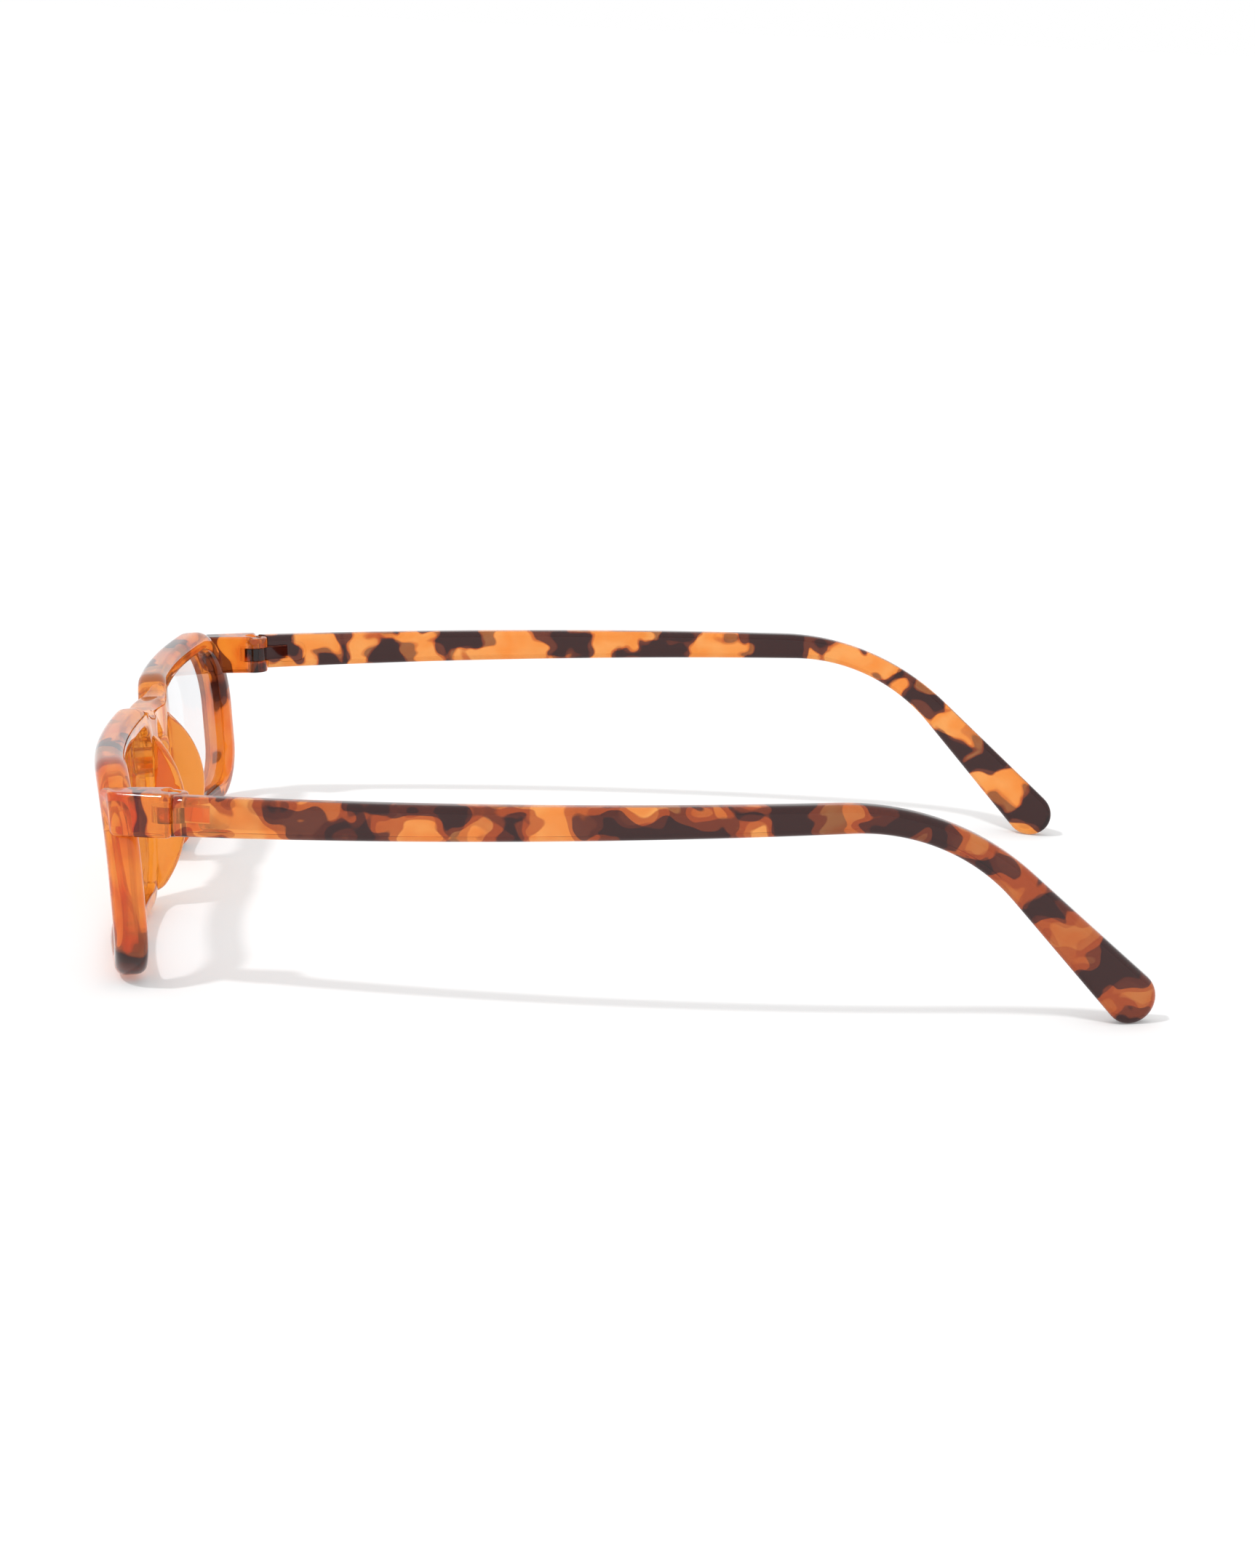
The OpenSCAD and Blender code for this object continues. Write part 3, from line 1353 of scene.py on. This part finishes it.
@dataclass(frozen=True)
class Pocket:
    """Shallow round-cornered recess in a temple's inner face, near the hinge.

    Attributes:
        along: Level y of its front and rear end.
        up: Level z of its lower and upper side.
        depths: From where to where it is cut, against the inner face.
    """

    along: Flat = (3.6, 8.2)
    up: Flat = (28.3, 31.7)
    front_round: float = 0.9
    rear_round: float = 1.6
    depths: Flat = (-0.35, 2.0)
    corner_steps: int = 8

    def build(self, side: Side, thick: float) -> bpy.types.Object:
        """Makes the recess's cutter.

        Args:
            side: Side of the temple.
            thick: Thickness of the temple.

        Returns:
            The cutter.
        """
        (front, rear), (low, high) = self.along, self.up
        corners = [
            (front, low, self.front_round),
            (rear, low, self.rear_round),
            (rear, high, self.rear_round),
            (front, high, self.front_round),
        ]
        outline = rounded(corners, self.corner_steps)
        skin = Skin()
        rings = [[(BOW.x(y, thick + depth), y, z) for y, z in outline] for depth in self.depths]
        skin.tube(rings, closed=False)
        return skin.build(f"pocket_{side.word}", side)


@dataclass(frozen=True)
class TempleShape:
    """One temple: a bowed plate with rounded edges and a bend to the ear.

    Attributes:
        waist: Height of the plate where the bend starts.
        bend: Level y at which the bend starts.
        start: Level y of the plate's front end.
        drop: How far the plate's top at the bend lies below the end piece's top.
        top_r: Radius of the bend's upper arc.
        low_r: Radius of the bend's lower arc.
        low_back: How far the lower arc starts behind the upper one.
        ear_top: Angle of the ear end's upper edge, in degrees.
        ear_low: Angle of the ear end's lower edge, in degrees.
        ear_len: Length of the ear end's upper edge, a hair short of the plain one's.
        crown: How far the outer face is domed.
        end_cuts: Shares of the front end's rounding where rings lie.
        tip_last: Share of the round tip at which its last ring lies.
        reach: How far the hinge's cutters reach above and below its middle.
    """

    height: float = 5.5
    waist: float = 4.0
    thick: float = 3.0
    bend: float = 87.5
    start: float = 0.08
    drop: float = 1.0
    top_r: float = 39.0
    low_r: float = 28.0
    low_back: float = 2.5
    ear_top: float = 43.5
    ear_low: float = 50.5
    ear_len: float = 22.48
    edge: float = 0.85
    crown: float = 0.16
    end_round: float = 0.5
    end_cuts: tuple[float, ...] = (0.0, 0.02, 0.1, 0.25, 0.5, 0.75, 1.0)
    straight_steps: int = 72
    bend_steps: int = 28
    ear_steps: int = 16
    tip_steps: int = 18
    tip_last: float = 0.999
    edge_steps: int = 6
    side_steps: int = 5
    reach: float = 5.0
    eye_play: float = 0.05
    tongue: Tongue = field(default_factory=Tongue)
    pocket: Pocket = field(default_factory=Pocket)

    def bend_top(self, t: float) -> Vector:
        """Finds a point on the bend's upper arc.

        Args:
            t: Share of the arc, from its front end.

        Returns:
            The point, as (y, z).
        """
        centre = Vector((self.bend, HINGE.top - self.drop - self.top_r))
        return on_arc(centre, self.top_r, math.radians(self.ear_top) * t)

    def bend_low(self, t: float) -> Vector:
        """Finds a point on the bend's lower arc.

        Args:
            t: Share of the arc, from its front end.

        Returns:
            The point, as (y, z).
        """
        height = HINGE.top - self.drop - self.waist - self.low_r
        centre = Vector((self.bend + self.low_back, height))
        return on_arc(centre, self.low_r, math.radians(self.ear_low) * t)

    def tip(self) -> tuple[Vector, float]:
        """Fits the round end between the ear end's two edges.

        Returns:
            Its centre, as (y, z), and its radius.
        """
        a, b = math.radians(self.ear_top), math.radians(self.ear_low)
        top, low = self.bend_top(1.0), self.bend_low(1.0)
        along = Vector((math.cos(a), -math.sin(a)))
        inwards = Vector((-math.sin(a), -math.cos(a)))
        spread = Vector((math.sin(b), math.cos(b)))
        gap = (top - low).dot(spread) + self.ear_len * along.dot(spread)
        r = gap / (1 - inwards.dot(spread))
        return top + self.ear_len * along + r * inwards, r

    def straight_places(self) -> list[TemplePlace]:
        """Finds the places from the front end to the bend.

        Returns:
            The places in order.
        """
        half = self.height / 2
        first = (Vector((self.start, HINGE.mid + half)), Vector((self.start, HINGE.mid - half)))
        last = (self.bend_top(0.0), self.bend_low(0.0))
        length = self.bend - self.start
        cuts = [
            (cut * self.end_round / length, corner_inset(self.end_round, cut * self.end_round))
            for cut in self.end_cuts
        ]
        cuts += [(k / self.straight_steps, 0.0) for k in range(1, self.straight_steps)]
        return [
            (first[0].lerp(last[0], t), first[1].lerp(last[1], t), inset, 0.0)
            for t, inset in cuts
        ]

    def tip_places(self) -> list[TemplePlace]:
        """Finds the places along the ear end and round its tip.

        Returns:
            The places in order.
        """
        centre, r = self.tip()
        high, low = math.radians(90 - self.ear_top), math.radians(-90 - self.ear_low)
        ends = [centre + r * Vector((math.cos(a), math.sin(a))) for a in (high, low)]
        top, under = self.bend_top(1.0), self.bend_low(1.0)
        out = []
        for k in range(1, self.ear_steps + 1):
            t = k / self.ear_steps
            out.append((top.lerp(ends[0], t), under.lerp(ends[1], t), 0.0, 0.0))
        middle = (high + low) / 2
        shares = [math.sin(math.pi / 2 * k / self.tip_steps) for k in range(1, self.tip_steps)]
        for t in [*shares, self.tip_last]:
            angles = (high + (middle - high) * t, low + (middle - low) * t)
            a, b = (centre + r * Vector((math.cos(c), math.sin(c))) for c in angles)
            out.append((a, b, 0.0, ((a + b) / 2 - centre).length))
        return out

    def stations(self) -> list[TemplePlace]:
        """Finds the places along the whole temple.

        Returns:
            The places in order.
        """
        shares = [k / self.bend_steps for k in range(self.bend_steps + 1)]
        bend = [(self.bend_top(t), self.bend_low(t), 0.0, 0.0) for t in shares]
        return self.straight_places() + bend + self.tip_places()

    def levels(self, half: float) -> list[float]:
        """Spreads the section's points, closer together at its edges.

        Args:
            half: Half of the section's height.

        Returns:
            Heights from -1 to 1, as shares of the half height.
        """
        near = range(self.edge_steps + 1)
        steps = [1 - math.cos(math.pi / 2 * k / self.edge_steps) for k in near]
        shares = [s * self.edge / max(half, self.edge) for s in steps]
        last = shares[-1]
        shares += [last + (1 - last) * k / self.side_steps for k in range(1, self.side_steps + 1)]
        lower = [s - 1 for s in shares]
        return lower + [-h for h in reversed(lower[:-1])]

    def ring(self, place: TemplePlace, tip_r: float) -> list[Point]:
        """Makes the section at one place, up the outer face and down the inner one.

        Args:
            place: One of the temple's places.
            tip_r: Radius of the round tip.

        Returns:
            The ring's level points.
        """
        top, low, inset, offset = place
        middle, half = (top + low) / 2, (top - low).length / 2
        up = (top - low).normalized()
        outer, inner = [], []
        for level in self.levels(half):
            v = level * (half - inset)
            away = tip_r - math.hypot(offset, v) if offset > 0 else half - inset - abs(v)
            drop = corner_inset(self.edge, min(max(away, 0.0), self.edge))
            spot = middle + up * v
            bulge = self.crown * level * level if offset == 0 else self.crown
            outer.append((BOW.x(spot.x, drop + bulge + inset), spot.x, spot.y))
            inner.append((BOW.x(spot.x, self.thick - drop), spot.x, spot.y))
        return outer + inner[::-1]

    def plate(self, side: Side) -> bpy.types.Object:
        """Makes the plate without its hinge.

        Args:
            side: Side of the temple.

        Returns:
            The plate.
        """
        skin = Skin()
        tip_r = self.tip()[1]
        skin.tube([self.ring(s, tip_r) for s in self.stations()], closed=False)
        return skin.build(f"temple_plate_{side.word}", side)

    def build(self, side: Side, finish: bpy.types.Material) -> bpy.types.Object:
        """Makes the temple of one side, riding on its body in place of the plain one.

        Args:
            side: Side of the temple.
            finish: Material of the temple.

        Returns:
            The temple.
        """
        temple = self.plate(side)
        temple.name = f"temple_moulding_{side.word}"
        low, high = HINGE.mid - self.reach, HINGE.mid + self.reach
        eye_r = HINGE.shank + self.eye_play
        room = turned(f"relief_{side.word}", [(HINGE.relief, low), (HINGE.relief, high)], side)
        carve(temple, [room, self.pocket.build(side, self.thick)], Join.CUT)
        carve(temple, [self.tongue.build(side)], Join.ADD)
        eye = turned(f"eye_{side.word}", [(eye_r, low), (eye_r, high)], side, BORE_STEPS)
        carve(temple, [eye], Join.CUT)
        dress(temple, finish, f"{side.word}_temple", [f"temple_{side.word}"])
        return temple


@dataclass(frozen=True)
class ScrewThread:
    """Thread of the hinge screw: a round wire on a spiral path round the lower end.

    Attributes:
        turns: Number of turns.
        high: Height that they take.
        sink: How far the wire's middle lies inside the shank's radius.
        lift: How far above the screw's bottom the first turn starts.
    """

    turns: float = 7.0
    high: float = 2.4
    sink: float = 0.07
    wire: float = 0.065
    lift: float = 0.15
    turn_steps: int = 24
    wire_steps: int = 8

    def tree(
        self, finish: bpy.types.Material
    ) -> tuple[bpy.types.NodeTree, list[tuple[str, float]]]:
        """Builds the node tree that sweeps the wire.

        Args:
            finish: Material of the thread.

        Returns:
            The tree, and each input's identifier with its value in metres or turns.
        """
        tree = bpy.data.node_groups.new("screw_thread", "GeometryNodeTree")
        face = tree.interface
        face.new_socket("Geometry", in_out="OUTPUT", socket_type="NodeSocketGeometry")
        wanted = {
            "Turns": self.turns,
            "Radius": (HINGE.shank - self.sink) * MM,
            "Height": self.high * MM,
            "Wire Radius": self.wire * MM,
        }
        inputs = []
        for word, value in wanted.items():
            socket = face.new_socket(word, in_out="INPUT", socket_type="NodeSocketFloat")
            inputs.append((socket.identifier, value))
        n = Nodes(tree)
        given = n.add("NodeGroupInput").outputs
        spiral = n.add("GeometryNodeCurveSpiral")
        n.feed(spiral.inputs["Resolution"], self.turn_steps)
        n.link(given["Turns"], spiral.inputs["Rotations"])
        n.link(given["Radius"], spiral.inputs["Start Radius"])
        n.link(given["Radius"], spiral.inputs["End Radius"])
        n.link(given["Height"], spiral.inputs["Height"])
        wire = n.add("GeometryNodeCurvePrimitiveCircle")
        n.feed(wire.inputs["Resolution"], self.wire_steps)
        n.link(given["Wire Radius"], wire.inputs["Radius"])
        sweep = n.add("GeometryNodeCurveToMesh")
        sweep.inputs["Fill Caps"].default_value = True
        n.link(spiral.outputs[0], sweep.inputs["Curve"])
        n.link(wire.outputs[0], sweep.inputs["Profile Curve"])
        real = n.add("GeometryNodeRealizeInstances")
        n.link(sweep.outputs[0], real.inputs[0])
        paint = n.add("GeometryNodeSetMaterial")
        paint.inputs["Material"].default_value = finish
        n.link(real.outputs[0], paint.inputs["Geometry"])
        n.link(paint.outputs[0], n.add("NodeGroupOutput").inputs[0])
        return tree, inputs

    def build(self, side: Side, bottom: float, finish: bpy.types.Material) -> bpy.types.Object:
        """Makes the thread of one side's screw, riding on the front.

        Args:
            side: Side of the screw.
            bottom: Level height of the screw's lower end.
            finish: Material of the thread.

        Returns:
            The thread.
        """
        tree, inputs = self.tree(finish)
        name = f"screw_thread_{side.word}"
        thread = bpy.data.objects.new(name, bpy.data.meshes.new(name))
        bpy.context.scene.collection.objects.link(thread)
        step = thread.modifiers.new("thread", "NODES")
        step.node_group = tree
        for identifier, value in inputs:
            step[identifier] = value
        settle(thread)
        foot = Matrix.Translation((HINGE.x * side.value, HINGE.y, bottom + self.lift))
        thread.data.transform(POSE.matrix() @ foot @ Matrix.Scale(1 / MM, 4))
        thread.data.update()
        dress(thread, finish, "front", [])
        return thread


@dataclass(frozen=True)
class HingeScrew:
    """Slotted hinge screw with its thread.

    Attributes:
        core: Radius of the threaded end, without its thread.
        tip_share: Radius of the lower end, as a share of the core's.
        tip_high: Height of the lower end's taper.
        neck: Start and end of the cone above the thread, over the thread's end.
        under: Chamfer under the head, as (inwards, up).
        crown: How far the head's top is drawn in and down.
        crown_bend: Point between the head's side and top, as (inwards, down).
    """

    core: float = 0.6
    bottom: float = 27.32
    head_low: float = 31.75
    head_high: float = 32.5
    tip_share: float = 0.7
    tip_high: float = 0.12
    neck: Flat = (0.2, 0.3)
    shank_play: float = 0.01
    under: Flat = (0.05, 0.06)
    crown: float = 0.2
    crown_bend: Flat = (0.06, 0.08)
    slot_w: float = 0.3
    slot_deep: float = 0.32
    slot_reach: float = 2.0
    slot_over: float = 1.0
    thread: ScrewThread = field(default_factory=ScrewThread)

    def profile(self) -> list[Flat]:
        """Lists the screw's outline from the bottom up.

        Returns:
            Points as (radius, level height).
        """
        shank, head = HINGE.shank - self.shank_play, HINGE.head
        threaded = self.bottom + self.thread.high
        return [
            (self.core * self.tip_share, self.bottom),
            (self.core, self.bottom + self.tip_high),
            (self.core, threaded + self.neck[0]),
            (shank, threaded + self.neck[1]),
            (shank, self.head_low),
            (head - self.under[0], self.head_low),
            (head, self.head_low + self.under[1]),
            (head, self.head_high - self.crown),
            (head - self.crown_bend[0], self.head_high - self.crown_bend[1]),
            (head - self.crown, self.head_high),
        ]

    def slot(self, side: Side) -> bpy.types.Object:
        """Makes the cutter of the head's slot.

        Args:
            side: Side of the screw.

        Returns:
            The cutter.
        """
        half, reach = self.slot_w / 2, self.slot_reach
        signs = ((-1, -1), (1, -1), (1, 1), (-1, 1))
        outline = [(HINGE.x + half * a, HINGE.y + reach * b) for a, b in signs]
        heights = (self.head_high - self.slot_deep, self.head_high + self.slot_over)
        return prism("screw_slot", outline, heights, side)

    def build(self, side: Side, finish: bpy.types.Material) -> list[bpy.types.Object]:
        """Makes the screw and its thread, riding on the front.

        Args:
            side: Side of the screw.
            finish: Material of the screw.

        Returns:
            The screw and the thread.
        """
        screw = turned(f"screw_{side.word}", self.profile(), side)
        carve(screw, [self.slot(side)], Join.CUT)
        dress(screw, finish, "front", [f"hinge_screw_{side.word}"])
        return [screw, self.thread.build(side, self.bottom, finish)]


@dataclass(frozen=True)
class Lenses:
    """The lenses, which keep the construction model's own meshes."""

    nodes: tuple[str, str] = ("lens_left", "lens_right")

    def build(self, finish: bpy.types.Material) -> None:
        """Gives both lenses their finish.

        Args:
            finish: Material of the lenses.
        """
        for name in self.nodes:
            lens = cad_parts[name]
            lens.data.materials.clear()
            lens.data.materials.append(finish)
            LOG.info("%s: finish %s", name, finish.name)


@dataclass(frozen=True)
class Studio:
    """Table, light and camera of the photograph.

    Attributes:
        camera_mm: Place of the camera in the level layout.
        table_lift: Light of the table's own that only the eye, metal and plastic see.
        sky: Strength of the world as a light; it shows as 1.
        sun_from: Direction in which the sun stands.
    """

    camera_mm: Point = (564.8126, 54.9921, 134.1876)
    yaw_deg: float = 0.6
    pitch_deg: float = 11.37
    roll_deg: float = -0.1
    lens_mm: float = 88.28
    sensor_mm: float = 36.0
    clip: Flat = (0.01, 50.0)
    table_m: float = 60.0
    table_colour: Colour = (0.81, 0.81, 0.81)
    table_lift: float = 0.15
    sky_colour: Colour = (1.0, 1.0, 1.0)
    sky: float = 0.9
    sun: float = 1.1
    sun_from: Point = (0.42, -0.56, 1.0)
    sun_deg: float = 4.0

    def build(self) -> None:
        """Builds the table, the world, the lamp and the camera."""
        self.table()
        self.world()
        self.lamp()
        self.camera()
        bpy.context.scene.view_settings.view_transform = "Standard"

    def table(self) -> None:
        """White table top, which shows white to the camera and keeps the shadow."""
        half = self.table_m / 2
        corners = [(-half, -half, 0), (half, -half, 0), (half, half, 0), (-half, half, 0)]
        mesh = bpy.data.meshes.new("table_top")
        mesh.from_pydata(corners, [], [(0, 1, 2, 3)])
        top = bpy.data.objects.new("table_top", mesh)
        bpy.context.scene.collection.objects.link(top)
        material, n = started("table_white")
        paint = n.add("ShaderNodeBsdfDiffuse")
        n.feed(paint.inputs["Color"], self.table_colour)
        lift = n.add("ShaderNodeEmission")
        n.link(n.math("MULTIPLY", n.seen(), self.table_lift), lift.inputs["Strength"])
        both = n.add("ShaderNodeAddShader")
        n.link(paint.outputs[0], both.inputs[0])
        n.link(lift.outputs[0], both.inputs[1])
        n.output("ShaderNodeOutputMaterial", both.outputs[0])
        mesh.materials.append(material)

    def world(self) -> None:
        """White studio all round, the same for the eye, for metal and for clear plastic."""
        world = bpy.data.worlds.new("studio")
        bpy.context.scene.world = world
        world.use_nodes = True
        n = Nodes(world.node_tree)
        light = n.add("ShaderNodeBackground")
        n.feed(light.inputs["Color"], self.sky_colour)
        shown = n.math("MULTIPLY", n.seen(), 1.0 - self.sky)
        n.link(n.math("ADD", shown, self.sky), light.inputs["Strength"])
        n.output("ShaderNodeOutputWorld", light.outputs[0])

    def lamp(self) -> None:
        """Soft key light from above the front."""
        data = bpy.data.lights.new("key", "SUN")
        data.energy = self.sun
        data.angle = math.radians(self.sun_deg)
        lamp = bpy.data.objects.new("key", data)
        bpy.context.scene.collection.objects.link(lamp)
        lamp.rotation_mode = "QUATERNION"
        lamp.rotation_quaternion = Vector(self.sun_from).to_track_quat("Z", "Y")

    def view(self) -> Matrix:
        """Works out the camera's turn in the level layout.

        Returns:
            Matrix with the camera's right, up and backward directions as columns.
        """
        yaw, pitch, roll = (math.radians(a) for a in (self.yaw_deg, self.pitch_deg, self.roll_deg))
        level = math.cos(pitch)
        ahead = Vector((-math.cos(yaw) * level, math.sin(yaw) * level, -math.sin(pitch)))
        right = ahead.cross(Vector((0, 0, 1))).normalized()
        up = right.cross(ahead)
        across = right * math.cos(roll) + up * math.sin(roll)
        above = up * math.cos(roll) - right * math.sin(roll)
        return Matrix((across, above, -ahead)).transposed()

    def camera(self) -> None:
        """Camera at the photograph's viewpoint."""
        data = bpy.data.cameras.new("camera")
        data.sensor_fit = "VERTICAL"
        data.sensor_width = self.sensor_mm
        data.sensor_height = self.sensor_mm
        data.lens = self.lens_mm
        data.clip_start, data.clip_end = self.clip
        camera = bpy.data.objects.new("camera", data)
        bpy.context.scene.collection.objects.link(camera)
        tilt = Matrix.Rotation(math.radians(POSE.tilt_deg), 3, "X")
        place = Matrix.Translation(POSE.matrix() @ Vector(self.camera_mm))
        camera.matrix_world = place @ (tilt @ self.view()).to_4x4()
        bpy.context.scene.camera = camera


def front_plastic() -> Tortoise:
    """Plastic of the front: deep amber, plain at the bridge and the pads.

    Returns:
        The plastic.
    """
    return Tortoise(
        "tortoise_front",
        seed=83.0,
        cover=0.4,
        grain=(0.45, 1.0, 0.4),
        clear_half=0.012,
        amber=(0.86, 0.165, 0.018),
        honey=(0.97, 0.31, 0.036),
        brown=(0.55, 0.09, 0.01),
        dark=(0.06, 0.009, 0.005),
    )


def left_plastic() -> Tortoise:
    """Plastic of the left temple: wide brown skirts, and painted shade that browns it towards the
    ear.

    Returns:
        The plastic.
    """
    return Tortoise(
        "tortoise_temple_left",
        seed=10.0,
        cover=0.47,
        grain=(0.6, 0.72, 1.0),
        skirt=0.1,
        amber=(0.90, 0.25, 0.032),
        honey=(0.97, 0.42, 0.10),
        brown=(0.42, 0.065, 0.008),
        # Painted shade: the ground browns and the blotches grow towards the ear end.
        painted_ear_shade=0.65,
    )


def right_plastic() -> Tortoise:
    """Plastic of the right temple: bright amber with crisp blotches."""
    return Tortoise("tortoise_temple_right", seed=15.0, cover=0.49, grain=(0.1, 0.8, 1.0))


@dataclass
class ReadingGlasses:
    """The whole pair of glasses."""

    front: FrontFrame = field(default_factory=FrontFrame)
    temple: TempleShape = field(default_factory=TempleShape)
    screw: HingeScrew = field(default_factory=HingeScrew)
    lenses: Lenses = field(default_factory=Lenses)

    def build(self) -> None:
        """Builds every piece in order."""
        self.front.build(front_plastic().build())
        plastics = {Side.LEFT: left_plastic(), Side.RIGHT: right_plastic()}
        steel = ScrewSteel().build()
        for side in Side:
            self.temple.build(side, plastics[side].build())
            self.screw.build(side, steel)
        self.lenses.build(ClearLens().build())


def main() -> None:
    """Builds the glasses, then the studio round them."""
    logging.basicConfig(level=logging.INFO, format="%(message)s")
    ReadingGlasses().build()
    Studio().build()


if __name__ == "__main__":
    main()
